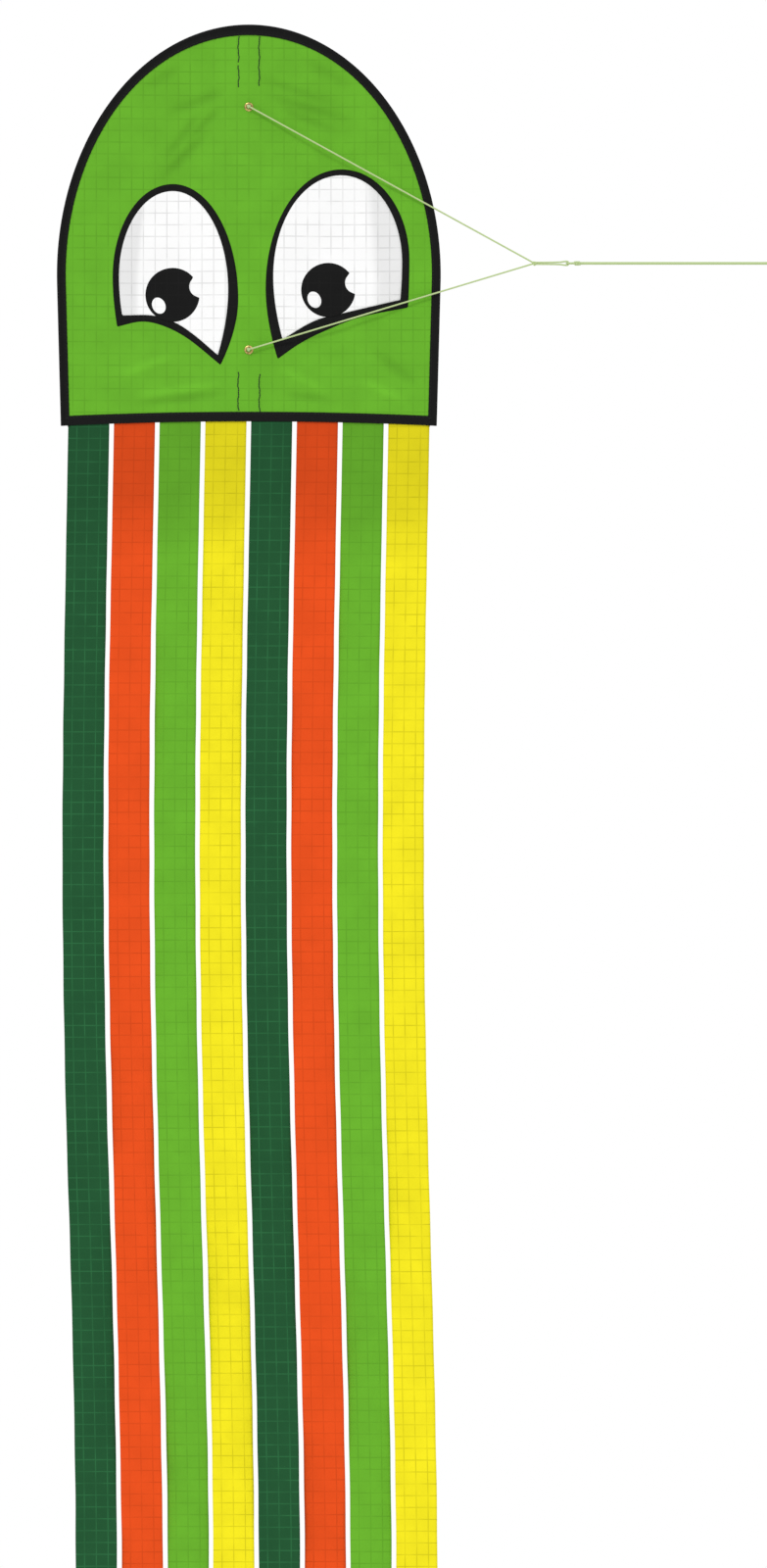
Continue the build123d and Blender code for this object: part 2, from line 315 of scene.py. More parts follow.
def braided_cord(name, colour, pitch):
    """Braided cord: two crossing helices of strands over a soft fibre noise, with painted shade in the
    hollows between strands.
    """
    n = Nodes(name)
    where, across, along = n.surface_map()
    turns = 2 * math.pi / pitch
    advance = n.math("MULTIPLY", along, turns)
    phases = [n.math("MULTIPLY_ADD", across, sign * turns, advance) for sign in (1, -1)]
    height = n.math("MAXIMUM", *[n.math("SINE", phase) for phase in phases])
    # painted shade: where the braid's height is low, between the strands, the colour is darkened to 0.8
    hollow_shade_mask = n.ramp(height, -0.6, 0.4, 0.0, 1.0)
    fibres = n.noise(where, 1400.0)
    strand = n.mix(fibres, shade(colour, 0.92), shade(colour, 1.08))
    cord = n.mix(hollow_shade_mask, shade(colour, 0.80), strand)
    return n.finish(cord, 0.75, 0.15, height, 0.12 * MM, 0.4)


def sewing_thread(name, colour):
    """Twisted thread: slanting plies with a slight lustre."""
    n = Nodes(name)
    plies = n.noise(n.place(), 3200.0, 1.0)
    return n.finish(n.mix(plies, shade(colour, 0.8), shade(colour, 1.25)), 0.5, 0.3, plies, 0.05 * MM)


def drawn_rod(name, colour):
    """Pultruded fibreglass: long pale streaks along the rod under a thin gloss."""
    n = Nodes(name)
    stretch = n.add("ShaderNodeMapping")
    n.put(stretch.inputs["Vector"], n.place())
    stretch.inputs["Scale"].default_value = (1.0, 1.0, 0.02)
    streaks = n.noise(stretch.outputs["Vector"], 2600.0, 4.0)
    colour = n.mix(streaks, shade(colour, 0.82), shade(colour, 1.12))
    return n.finish(colour, n.ramp(streaks, 0.3, 0.7, 0.22, 0.38), 0.5, streaks, 0.03 * MM)


def dipped_vinyl(name, colour):
    """Soft moulded cap: faint orange peel, with painted shade in its hollows and painted light on its
    rises.
    """
    n = Nodes(name)
    peel = n.noise(n.place(), 1500.0, 2.0)
    # painted shade and painted light: the colour follows the peel's height, darker in the hollows, lighter
    # on the rises
    return n.finish(n.mix(peel, shade(colour, 0.8), shade(colour, 1.5)), 0.5, 0.35, peel, 0.06 * MM)


def pressed_brass(name, colour):
    """Tumbled brass: brownish tarnish in patches, with brighter rubbed spots."""
    n = Nodes(name)
    tarnish = n.noise(n.place(), 420.0, 4.0)
    brass = n.mix(n.ramp(tarnish, 0.35, 0.65), shade(colour, 0.45), shade(colour, 1.1))
    n.shader.inputs["Metallic"].default_value = 0.85
    return n.finish(brass, n.ramp(tarnish, 0.3, 0.7, 0.48, 0.28), 0.5, tarnish, 0.05 * MM)


def studio_paper(name, colour):
    """Matt floor paper with a barely visible fleck."""
    n = Nodes(name)
    fleck = n.noise(n.place(), 60.0)
    return n.finish(n.mix(fleck, shade(colour, 0.98), shade(colour, 1.01)), 0.9, 0.1)


MATERIALS = {
    "sail_green": ripstop("sail_green", rgb(105, 178, 46)),
    "pocket_green": ripstop("pocket_green", rgb(100, 170, 44)),
    "print_white": ripstop("print_white", rgb(254, 254, 254), 0.72, 0.79, 0.84, 0.01),
    "print_black": ripstop("print_black", rgb(29, 29, 29), 1.25, 0.68),
    "tail_dark_green": ripstop("tail_dark_green", rgb(37, 89, 53), 1.70, 0.74, 0.90),
    "tail_orange": ripstop("tail_orange", rgb(231, 80, 29), 0.79, 0.815, 0.81),
    "tail_light_green": ripstop("tail_light_green", rgb(105, 177, 46), 0.80, 0.81, 0.81),
    "tail_yellow": ripstop("tail_yellow", rgb(243, 230, 32), 0.70, 0.81, 0.80),
    "binding_black": binding_tape("binding_black", tuple(0.66 * c for c in rgb(29, 29, 29))),
    "bridle_cord": braided_cord("bridle_cord", tuple(0.86 * c for c in rgb(188, 208, 148)), 1.6 * MM),
    "flying_cord": braided_cord("flying_cord", tuple(0.88 * c for c in rgb(184, 204, 146)), 2.4 * MM),
    "thread_black": sewing_thread("thread_black", rgb(20, 20, 21)),
    "thread_dark_green": sewing_thread("thread_dark_green", rgb(10, 30, 16)),
    "rod_fibreglass": drawn_rod("rod_fibreglass", (0.62, 0.60, 0.52)),
    "cap_vinyl": dipped_vinyl("cap_vinyl", (0.03, 0.03, 0.032)),
    "eyelet_brass": pressed_brass("eyelet_brass", (0.62, 0.45, 0.16)),
    "paper": studio_paper("paper", (0.93, 0.93, 0.93)),
}


# ---------------------------------------------------------------- lines and meshes

def evenly(points, spacing):
    """The line through the points, resampled at even steps near the spacing."""
    points = np.asarray(points, float)
    run = np.r_[0, np.cumsum(np.linalg.norm(np.diff(points, axis=0), axis=1))]
    count = max(2, round(run[-1] / spacing) + 1)
    steps = np.linspace(0, run[-1], count)
    return np.stack([np.interp(steps, run, axis) for axis in points.T], axis=1)


def run_along(path):
    """Distance along a line of points, from its start."""
    return np.r_[0, np.cumsum(np.linalg.norm(np.diff(path, axis=0), axis=1))]


def wave(run, size, length, phase=0.0):
    """Sine wave: size x sin(2 pi run / length + phase)."""
    return size * np.sin(2 * math.pi * run / length + phase)


def unit(vectors):
    """Each vector made one long."""
    return vectors / np.maximum(np.linalg.norm(vectors, axis=-1, keepdims=True), 1e-12)


def spline(points, steps, closed=False):
    """Smooth line through the points: the Catmull-Rom cubic, closed on itself where asked."""
    points = np.asarray(points, float)
    if closed:
        padded = np.vstack([points[-1:], points, points[:2]])
    else:
        padded = np.vstack([2 * points[0] - points[1], points, 2 * points[-1] - points[-2]])
    before, start, end, after = padded[:-3], padded[1:-2], padded[2:-1], padded[3:]
    t = (np.arange(steps) / steps)[:, None, None]
    cubic = 0.5 * (
        2 * start + (end - before) * t + (2 * before - 5 * start + 4 * end - after) * t**2
        + (3 * start - before - 3 * end + after) * t**3
    )
    line = cubic.transpose(1, 0, 2).reshape(-1, points.shape[1])
    return line if closed else np.vstack([line, points[-1:]])


def route_line(route, spacing):
    """Evenly spaced points along one open NURBS line through the route's own control points."""
    data = bpy.data.curves.new("route", "CURVE")
    data.dimensions = "3D"
    line = data.splines.new("NURBS")
    line.points.add(len(route) - 1)
    for point, place in zip(line.points, route):
        point.co = (*place, 1.0)
    line.order_u = 3
    line.use_endpoint_u = True
    line.resolution_u = 24
    holder = bpy.data.objects.new("route", data)
    mesh = bpy.data.meshes.new_from_object(holder)
    flat = np.empty(3 * len(mesh.vertices))
    mesh.vertices.foreach_get("co", flat)
    bpy.data.objects.remove(holder)
    bpy.data.meshes.remove(mesh)
    bpy.data.curves.remove(data)
    return evenly(flat.reshape(-1, 3), spacing)


def build(name, points, faces, material, face_map=None, attributes=None):
    """Object at the origin from points and quads; seams and poles are welded, normals face out."""
    mesh = bpy.data.meshes.new(name)
    mesh.from_pydata(points.reshape(-1, 3).tolist(), [], faces.tolist())
    if face_map is not None:
        layer = mesh.uv_layers.new(name="cloth")
        layer.data.foreach_set("uv", face_map.astype(np.float32).ravel())
    for key, values in (attributes or {}).items():
        attribute = mesh.attributes.new(key, "FLOAT", "POINT")
        attribute.data.foreach_set("value", np.asarray(values, np.float32).ravel())
    shell = bmesh.new()
    shell.from_mesh(mesh)
    bmesh.ops.remove_doubles(shell, verts=shell.verts, dist=1e-7)
    bmesh.ops.recalc_face_normals(shell, faces=shell.faces)
    shell.to_mesh(mesh)
    shell.free()
    mesh.shade_smooth()
    mesh.materials.append(MATERIALS[material])
    made = bpy.data.objects.new(name, mesh)
    bpy.context.scene.collection.objects.link(made)
    return made


def grid(name, points, material, cloth_map, wrap=(False, False), ends=False, attributes=None):
    """Mesh over rows and columns of points. wrap joins the last row or column to the first.

    cloth_map has one more row or column where it wraps. ends closes a folded strip's two end sections.
    """
    rows, columns = points.shape[:2]
    row = np.arange(rows - 1 + wrap[0])[:, None]
    column = np.arange(columns - 1 + wrap[1])[None, :]
    down = (row, row, row + 1, row + 1)
    over = (column, column + 1, column + 1, column)
    faces = np.stack([(d % rows) * columns + o % columns for d, o in zip(down, over)], axis=-1)
    face_map = np.stack([cloth_map[d, o] for d, o in zip(down, over)], axis=2)
    faces = faces.reshape(-1, 4)
    face_map = face_map.reshape(-1, 2)
    if ends:
        half = columns // 2
        near = np.arange(half - 1)
        far = columns - 1 - near
        for first in (0, (rows - 1) * columns):
            cap = first + np.stack([near, near + 1, far - 1, far], axis=1)
            faces = np.vstack([faces, cap])
            face_map = np.vstack([face_map, np.zeros((cap.size, 2))])
    return build(name, points, faces, material, face_map, attributes)


def thicken(piece, thickness):
    """Cloth of even thickness about the modelled surface."""
    solid = piece.modifiers.new("thickness", "SOLIDIFY")
    solid.thickness = thickness
    solid.offset = 0.0
    return piece


def place(piece, body, slot, *nodes):
    """The piece rides on a body and stands for the nodes named; slot is not used."""
    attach(piece, body)
    if nodes:
        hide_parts(*nodes)
    return piece


def tube(name, path, diameter, reference, material, segments=20, braid=0.0, closed=False):
    """Round cord along a path, with rounded ends, or joined end to end where closed.

    Its radius is base x (1 + braid x sin(4 turn + s) sin(4 turn - s)), with s a full turn every 1.6
    diameters. reference is a direction that the path never follows.
    """
    along = np.gradient(path, axis=0)
    if closed:
        along = np.roll(path, -1, axis=0) - np.roll(path, 1, axis=0)
    along = unit(along)
    side = unit(np.cross(along, reference))
    up = np.cross(side, along)
    run = run_along(path)
    turn = np.arange(segments) * 2 * math.pi / segments
    s = (run * 2 * math.pi / (1.6 * diameter))[:, None]
    radius = diameter / 2 * (1 + braid * np.sin(4 * turn + s) * np.sin(4 * turn - s))
    centre = path[:, None, :]
    if not closed:
        tip = np.linspace(0, math.pi / 2, 5)
        ring = np.r_[np.zeros(4, int), np.arange(len(path)), np.full(4, len(path) - 1)]
        size = np.r_[np.sin(tip[:4]), np.ones(len(path)), np.sin(tip[:4][::-1])][:, None]
        reach = np.r_[-np.cos(tip[:4]), np.zeros(len(path)), np.cos(tip[:4][::-1])] * diameter * 0.25
        centre = (path[ring] + along[ring] * reach[:, None])[:, None, :]
        side, up, radius, run = side[ring], up[ring], radius[ring] * size, run[ring] + reach
    around = np.cos(turn)[None, :, None] * side[:, None, :] + np.sin(turn)[None, :, None] * up[:, None, :]
    points = centre + radius[:, :, None] * around
    map_turn = np.r_[turn, 2 * math.pi] * diameter / 2
    map_run = np.r_[run, run[-1] + run[-1] - run[-2]] if closed else run
    across, down = np.meshgrid(map_turn, map_run)
    cloth_map = np.stack([across, down], axis=-1)
    return grid(name, points, material, cloth_map, wrap=(closed, True))


# ---------------------------------------------------------------- cords, first

def at_cord(x, above=0.0):
    """Point in the cords' plane, at a height from the flying line's."""
    return (x, BRIDLE_Y, CORD_Z + above)


def straight_route(start, end, hold=9.0 * MM):
    """A taut cord's route: two ends, with a control point a little inside each."""
    start = np.array(start)
    end = np.array(end)
    step = hold * (end - start) / np.linalg.norm(end - start)
    return [tuple(start), tuple(start + step), tuple(end - step), tuple(end)]


def loop_route(start, parted, spread, far, half):
    """Out along one strand, parting to a loop half high at its far end, and back along the other."""
    upper = [(start, spread), (parted, spread), (far - 2 * half, half), (far, half)]
    return [at_cord(x, z) for x, z in upper] + [at_cord(x, -z) for x, z in reversed(upper)]


def declared_cord(name, route, diameter, body, slot, lay, stiffness, with_pieces=()):
    """A braided free cord along its route."""
    path = route_line(route, 0.16 * diameter)
    cord = tube(name, path, diameter, np.array([0.0, 1.0, 0.0]), slot, 20, 0.07)
    place(cord, body, slot, name[: -len("_braid")])
    return cord


def trefoil_knot(name, centre, size, diameter, body, slot, node):
    """Drawn-up overhand knot: the trefoil line, with cord that is thick for its size.

    x = sin t + 2 sin 2t, z = cos t - 2 cos 2t and y = -1.4 sin 3t, all scaled to the knot's size.
    """
    t = np.arange(150) * 2 * math.pi / 150
    x = np.sin(t) + 2 * np.sin(2 * t)
    y = -1.4 * np.sin(3 * t)
    z = np.cos(t) - 2 * np.cos(2 * t)
    path = np.array(centre) + np.stack([x, y, z], axis=1) * (size - diameter) / 6
    knot = tube(name, path, diameter, np.array([0.05, 1.0, 0.02]), slot, 14, 0.05, closed=True)
    return place(knot, body, slot, node)


def wrapped_knot(name, centre, turns, coil, diameter, body, slot, node):
    """Barrel knot: the cord's end in close turns round the line.

    A helix, x = pitch x t, whose radius is the coil's x (1 - 0.3 u^6), with u from -1 to 1 along the knot.
    """
    t = np.linspace(0, 1, 40 * turns)
    turn = 2 * math.pi * turns * t
    radius = coil * (1 - 0.30 * (2 * t - 1) ** 6)
    x = (t - 0.5) * turns * diameter * 0.92
    path = np.array(centre) + np.stack([x, radius * np.cos(turn), radius * np.sin(turn)], axis=1)
    knot = tube(name, path, diameter, np.array([1.0, 0.0, 0.0]), slot, 12, 0.05)
    return place(knot, body, slot, node)


def make_bridle():
    """Both legs, from their eyelet knots to the tow knot, and the doubled end with its small eye."""
    tow = at_cord(TOW_X)
    rides = ("bridle", "bridle_cord")
    for name, height in EYELETS.items():
        start = (0, BRIDLE_Y, height)
        turns = trefoil_knot(f"{name}_knot_turns", start, EYELET_KNOT, BRIDLE_CORD, *rides, f"{name}_knot")
        route = straight_route(start, tow)
        declared_cord(f"bridle_leg_{name}_braid", route, BRIDLE_CORD, *rides, "taut", "limp", [turns])
    tow_turns = trefoil_knot("tow_knot_turns", tow, TOW_KNOT, BRIDLE_CORD, *rides, "tow_knot")
    eye = loop_route(TOW_X, LINK_X - 2 * EYE_HALF - EYE_FLARE, STRAND_HALF, LINK_X, EYE_HALF)
    declared_cord("bridle_eye_braid", eye, BRIDLE_CORD, *rides, "taut", "limp", [tow_turns])


def make_line_link():
    """The flying line's own level loop through the bridle's eye: an ellipse, long towards the line."""
    low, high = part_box("line_link")
    middle = box_middle("line_link")
    half_long = (high.x - low.x - LINK_CORD) / 2
    half_wide = (high.y - low.y - LINK_CORD) / 2
    turn = np.arange(90) * 2 * math.pi / 90
    oval = middle + np.stack([half_long * np.cos(turn), half_wide * np.sin(turn), 0 * turn], axis=1)
    upright = np.array([0, 0, 1.0])
    link = tube("line_link_braid", oval, LINK_CORD, upright, "flying_cord", 16, 0.06, closed=True)
    return place(link, "line", "flying_cord", "line_link")


def make_flying_line():
    """The thick line, with its link and barrel knot at the bridle and a hand loop beyond its end knot."""
    rides = ("line", "flying_cord")
    on_line = [make_line_link()]
    for node, coil, cord in (("line_knot", 1.35 * MM, 1.5 * MM), ("end_knot", 1.55 * MM, 1.6 * MM)):
        on_line.append(wrapped_knot(node + "_turns", box_middle(node), 4, coil, cord, *rides, node))
    line = straight_route(at_cord(LINE_START_X), at_cord(LINE_END_X), 15 * MM)
    declared_cord("flying_line_braid", line, LINE_CORD, *rides, "taut", "medium", on_line)
    loop = loop_route(LINE_END_X, LINE_END_X + 1 * MM, LINK_CORD / 2, LOOP_END_X, LOOP_HALF)
    declared_cord("end_loop_braid", loop, LINK_CORD, *rides, "loose", "limp")


make_bridle()
make_flying_line()


# ---------------------------------------------------------------- the head's outline and surface

def smooth_step(value, low, high):
    """3t^2 - 2t^3: 0 at low, 1 at high, with level ends."""
    t = np.clip((value - low) / (high - low), 0, 1)
    return t * t * (3 - 2 * t)


def half_width_at(z):
    """Half the head's width at a height: half an ellipse over sides that lean in."""
    rise = np.clip((z + ARCH_HEIGHT) / ARCH_HEIGHT, 0, 1)
    arch = HALF_WIDTH * np.sqrt(1 - rise**2)
    return np.where(z > -ARCH_HEIGHT, arch, HALF_WIDTH + (z + ARCH_HEIGHT) * math.tan(SIDE_LEAN))


def hem_z(x):
    """Lower edge of the head: a parabola, higher in the middle by the hem's rise."""
    return -HEAD_HEIGHT + HEM_RISE * (1 - (np.asarray(x) / CORNER) ** 2)


def edge_line(spacing):
    """Outer edge from the right corner over the nose to the left one, and its directions inwards."""
    dip = math.atan(ARCH_HEIGHT / HALF_WIDTH * math.tan(SIDE_LEAN))
    turn = np.linspace(-dip, math.pi + dip, 400)
    arch = np.stack([HALF_WIDTH * np.cos(turn), ARCH_HEIGHT * (np.sin(turn) - 1)], axis=1)
    corner = np.array([[CORNER, -HEAD_HEIGHT]])
    line = evenly(np.vstack([corner, arch, corner * (-1, 1)]), spacing)
    along = unit(np.gradient(line, axis=0))
    return line, np.stack([-along[:, 1], along[:, 0]], axis=1)


# Soft creases: start, end (x, z in mm), width and height in mm, positive towards the back
CREASES = (
    ((-20, -60), (-74, -81), 4.5, 1.3),
    ((-24, -75), (-58, -108), 4.0, 1.5),
    ((-34, -94), (-80, -142), 4.5, 1.6),
    ((-44, -80), (-77, -124), 4.0, 1.3),
    ((-60, -38), (-98, -60), 5.0, 1.2),
    ((10, -50), (84, -74), 4.5, 1.2),
    ((18, -66), (96, -88), 4.5, 1.5),
    ((28, -76), (82, -99), 4.0, 1.2),
    ((48, -32), (96, -59), 5.0, 1.0),
    ((-118, -321), (-66, -301), 5.0, -1.5),
    ((-100, -338), (-20, -328), 4.0, -1.4),
    ((-108, -347), (-16, -336), 3.5, 1.4),
    ((28, -314), (74, -337), 4.5, -1.3),
    ((32, -337), (76, -343), 3.5, 1.3),
    ((100, -324), (146, -345), 4.5, -1.4),
    ((112, -296), (156, -330), 5.0, 1.3),
)


def crease_field(x, z):
    """Sum of the creases in mm: each a bell exp(-(off/width)^2) that fades out at both ends."""
    total = np.zeros(np.shape(x))
    for start, end, width, height in CREASES:
        start, end = np.array(start) * MM, np.array(end) * MM
        length = np.linalg.norm(end - start)
        along = (end - start) / length
        t = ((x - start[0]) * along[0] + (z - start[1]) * along[1]) / length
        off = (x - start[0]) * along[1] - (z - start[1]) * along[0]
        bell = np.exp(-((off / (width * MM)) ** 2))
        total += height * bell * smooth_step(t, -0.1, 0.35) * (1 - smooth_step(t, 0.6, 1.1))
    return total


def sail_y(x, z):
    """The sail's own surface: two lobes pressed back between spine and edges, creases, slight slack.

    A lobe is the billow x sin^2 across x sin^0.8 down. The slack is a small wave each way.
    Creases and slack fade out near the bindings.
    """
    room = np.maximum(half_width_at(z) - 10 * MM, 1 * MM)
    side = np.sin(math.pi * np.clip(np.abs(x) / room, 0, 1)) ** 2
    down = np.sin(math.pi * np.clip((-z - 12 * MM) / (HEAD_HEIGHT - 24 * MM), 0, 1)) ** 0.8
    free = smooth_step(room - np.abs(x), 0, 12 * MM) * smooth_step(-z, 12 * MM, 24 * MM)
    free = free * smooth_step(z + HEAD_HEIGHT, 12 * MM, 24 * MM)
    slack = wave(x, 0.45 * MM, 61 * MM, z / (23 * MM)) * wave(z, 1, 47 * MM)
    return BILLOW * side * down + (crease_field(x, z) * MM + slack * side) * free


def polar_patch(name, outline, centre, lift, rings, material, attributes=None):
    """Piece of cloth on the sail: rings centre + share x (outline - centre), lifted off its surface."""
    share = np.linspace(0, 1, rings)[:, None, None]
    flat = np.array(centre) + share * (outline - centre)
    x, z = flat[..., 0], flat[..., 1]
    points = np.stack([x, sail_y(x, z) - lift, z], axis=-1)
    cloth_map = np.concatenate([flat, flat[:, :1]], axis=1)
    values = None if attributes is None else {key: rule(x, z) for key, rule in attributes.items()}
    return grid(name, points, material, cloth_map, wrap=(False, True), attributes=values)


def make_sail():
    """The head's cloth, cut to reach a little way under the bindings."""
    edge, inwards = edge_line(3.4 * MM)
    arch = edge + SAIL_INSET * inwards
    keep = arch[:, 1] > hem_z(arch[:, 0]) + SAIL_INSET
    across = np.linspace(arch[keep][-1, 0], arch[keep][0, 0], 90)
    hem = np.stack([across, hem_z(across) + SAIL_INSET], axis=1)
    outline = np.vstack([arch[keep], hem])
    # painted shade along the creases that lie back, and painted light along those that stand forward,
    # through the cloth's shade attribute
    crease_shade = {"shade": lambda x, z: crease_field(x, z) / 1.5}
    sail = polar_patch("sail_cloth", outline, (0, -0.2), 0, 100, "sail_green", crease_shade)
    place(thicken(sail, CLOTH), "head", "sail_green", "sail_panel")


# ---------------------------------------------------------------- print

# Each eye in mm, (x, z): the highest point, the widest points, the point of the lid and its outer corner,
# then the middles of pupil, bite and highlight, and where the ball's shade starts and ends across
EYES = {
    "left": {
        "outer": {
            "top": (-69.7, -144.8),
            "outside": (-124.2, -229.5),
            "inside": (-9.7, -250.0),
            "tip": (-25.8, -310.1),
            "lid": [(-55.4, -286.1), (-77.9, -274.3), (-98.0, -270.3)],
            "corner": (-120.1, -275.0),
        },
        "white": {
            "top": (-69.7, -151.2),
            "outside": (-118.5, -229.5),
            "inside": (-18.8, -242.0),
            "tip": (-28.3, -301.1),
            "lid": [(-50.5, -282.2), (-67.9, -271.0), (-88.0, -264.8)],
            "corner": (-115.5, -264.8),
        },
        "pupil": (-69.7, -246.0),
        "bite": (-44.6, -238.4),
        "highlight": (-82.2, -255.8),
        "shade": (-99, -105),
    },
    "right": {
        "outer": {
            "top": (83.9, -131.5),
            "outside": (146.4, -214.7),
            "inside": (15.4, -239.8),
            "tip": (26.3, -304.6),
            "lid": [(47.4, -289.9), (72.4, -277.4), (102.5, -266.1)],
            "corner": (145.1, -257.8),
        },
        "white": {
            "top": (83.9, -136.9),
            "outside": (139.8, -217.0),
            "inside": (22.3, -229.5),
            "tip": (30.8, -286.7),
            "lid": [(59.9, -269.7), (87.5, -262.3)],
            "corner": (138.1, -250.8),
        },
        "pupil": (72.4, -241.5),
        "bite": (97.5, -234.8),
        "highlight": (59.7, -250.5),
        "shade": (111, 122),
    },
}
PUPIL_RADIUS = 24.7 * MM
BITE_RADIUS = 9.8 * MM
HIGHLIGHT_HALVES = (6.3 * MM, 7.4 * MM)


def eye_outline(shape):
    """Egg over a lid: two quarter ellipses to the top, two bows to the tip and corner, a spline between."""
    top, outside, inside, tip, corner = (
        np.array(shape[key]) for key in ("top", "outside", "inside", "tip", "corner")
    )
    turn = np.linspace(0, math.pi / 2, 60)[:, None]
    quarters = []
    for side in (outside, inside):
        level = np.array([top[0], side[1]])
        quarters.append(level + np.sin(turn) * (top - level) + np.cos(turn) * (side - level))
    t = np.linspace(0, 1, 40)[:, None]
    bows = []
    for side, end in ((inside, tip), (outside, corner)):
        bend = np.array([side[0], 0.55 * side[1] + 0.45 * end[1]])
        bows.append((1 - t) ** 2 * side + 2 * t * (1 - t) * bend + t**2 * end)
    lid = spline([tip, *shape["lid"], corner], 20)
    return MM * evenly(np.vstack([quarters[0], quarters[1][::-1], bows[0], lid, bows[1][::-1]]), 2.0)


def bitten_circle(pupil, bite):
    """The pupil's edge seen from a point off its middle: the nearer of its circle and the bite's circle."""
    away = unit(pupil - bite)
    centre = pupil + 6 * MM * away
    turn = np.arange(180) * 2 * math.pi / 180
    ray = np.stack([np.cos(turn), np.sin(turn)], axis=1)

    def crossing(middle, radius, sign):
        along = ray @ (middle - centre)
        inside = along**2 - np.sum((middle - centre) ** 2) + radius**2
        reach = along + sign * np.sqrt(np.maximum(inside, 0))
        return np.where((inside > 0) & (reach > 0), reach, np.inf)

    reach = np.minimum(crossing(pupil, PUPIL_RADIUS, 1), crossing(bite, BITE_RADIUS, -1))
    return centre, centre + reach[:, None] * ray


def make_eye(side, eye):
    """One printed eye: black shape, white ball shaded at its outer side, bitten pupil, highlight."""
    def printed(name, outline, centre, layer, material, attributes=None):
        lift = PRINT_LIFT + layer * PRINT_STEP
        patch = polar_patch(f"eye_{side}_{name}", outline, centre, lift, 26, material, attributes)
        place(thicken(patch, PRINT_FILM), "head", material)

    pupil, bite, spot = (np.array(eye[key]) * MM for key in ("pupil", "bite", "highlight"))
    middle = np.array([pupil[0], -0.222])
    clear, grey = np.array(eye["shade"]) * MM

    def ball_shade(x, z):
        """The white's shadow: from clear to grey across the ball, reaching further in at its top."""
        lean = 0.09 * np.maximum(z + 0.23, 0) * np.sign(grey)
        return smooth_step((x + lean - clear) / (grey - clear), 0, 1)

    printed("rim", eye_outline(eye["outer"]), middle, 0, "print_black")
    printed("white", eye_outline(eye["white"]), middle, 1, "print_white", {"shade": ball_shade})
    centre, outline = bitten_circle(pupil, bite)
    printed("pupil", outline, centre, 2, "print_black")
    turn = np.arange(60)[:, None] * 2 * math.pi / 60
    oval = spot + np.hstack([HIGHLIGHT_HALVES[0] * np.cos(turn), HIGHLIGHT_HALVES[1] * np.sin(turn - 0.2)])
    printed("highlight", oval, spot, 3, "print_white")


make_sail()
for side, eye in EYES.items():
    make_eye(side, eye)


# ---------------------------------------------------------------- bindings and stitching

def folded_strip(name, line, inwards, width, bulge, waver, node):
    """Tape folded over an edge: a hairpin wall, round over the rod, whose two leaves lie flat.

    Across it, y = bulge x cos turn around the edge, then flat + (bulge - flat) x (1 + cos) / 2.
    """
    turn = np.linspace(0, math.pi / 2, 9)
    round_in = bulge * (1 - np.sin(turn[::-1]))
    round_y = bulge * np.cos(turn[::-1])
    t = np.linspace(0, 1, 15)[1:]
    fall = (1 + np.cos(math.pi * np.clip(t * 2.2, 0, 1))) / 2
    flat_y = BINDING_HALF + (bulge - BINDING_HALF) * fall
    run = run_along(line)[:, None]
    pucker = wave(run, waver, 5.3 * MM) * wave(run, 1, 37 * MM, 1)
    across = np.hstack([
        np.tile(round_in, (len(line), 1)),
        bulge + t * (width[:, None] - bulge + 1.6 * pucker),
    ])
    outer = np.hstack([np.tile(round_y, (len(line), 1)), flat_y + pucker * t**2])
    inner_across = np.maximum(across, TAPE + 0 * across)
    inner = np.maximum(outer - TAPE, 0.05 * MM)
    inner[:, 0] = 0
    depth = np.hstack([across[:, ::-1], across[:, 1:], inner_across[:, ::-1], inner_across[:, 1:]])
    front = np.hstack([-outer[:, ::-1], outer[:, 1:], inner[:, ::-1], -inner[:, 1:]])
    flat = line[:, None, :] + depth[..., None] * inwards[:, None, :]
    points = np.stack([flat[..., 0], front, flat[..., 1]], axis=-1)
    around = np.r_[0, np.cumsum(np.hypot(np.diff(depth[0]), np.diff(front[0])))]
    around = np.r_[around, around[-1] + TAPE]
    cloth_map = np.stack(np.meshgrid(around, run[:, 0]), axis=-1)
    strip = grid(name, points, "binding_black", cloth_map, wrap=(False, True), ends=True)
    return place(strip, "head", "binding_black", node)


def stitches(name, path, side, material, pitch=3.2 * MM, length=2.5 * MM, thread=0.32 * MM):
    """Row of thread capsules along a path on the cloth, standing half out of it towards side.

    A capsule's radius is thread / 2 x sqrt(1 - t^6), with t from -1 to 1 along it.
    """
    path = evenly(path, pitch)
    along = unit(np.gradient(path, axis=0))
    across = unit(np.cross(along, side))
    t = np.sin(np.linspace(-math.pi / 2, math.pi / 2, 7))
    turn = np.arange(6) * math.pi / 3
    bow = thread / 2 * np.sqrt(1 - t**6)
    shape = path[:, None, None, :] + (t * length / 2)[None, :, None, None] * along[:, None, None, :]
    ring = (
        np.cos(turn)[None, None, :, None] * across[:, None, None, :]
        + np.sin(turn)[None, None, :, None] * np.array(side)
    )
    points = shape + bow[None, :, None, None] * ring
    row = np.arange(6)[:, None]
    column = np.arange(6)[None, :]
    corners = [(row + r) * 6 + (column + c) % 6 for r, c in ((0, 0), (0, 1), (1, 1), (1, 0))]
    faces = np.stack(corners, axis=-1).reshape(-1, 4)
    faces = (np.arange(len(path))[:, None, None] * 42 + faces).reshape(-1, 4)
    row_of_stitches = build(name, points, faces, material)
    return place(row_of_stitches, "head", "binding_black")


def flat_line(plane_line, y):
    """A line in X and Z, put at a depth y, one for all or one for each point."""
    return np.stack([plane_line[:, 0], y + 0 * plane_line[:, 0], plane_line[:, 1]], axis=1)


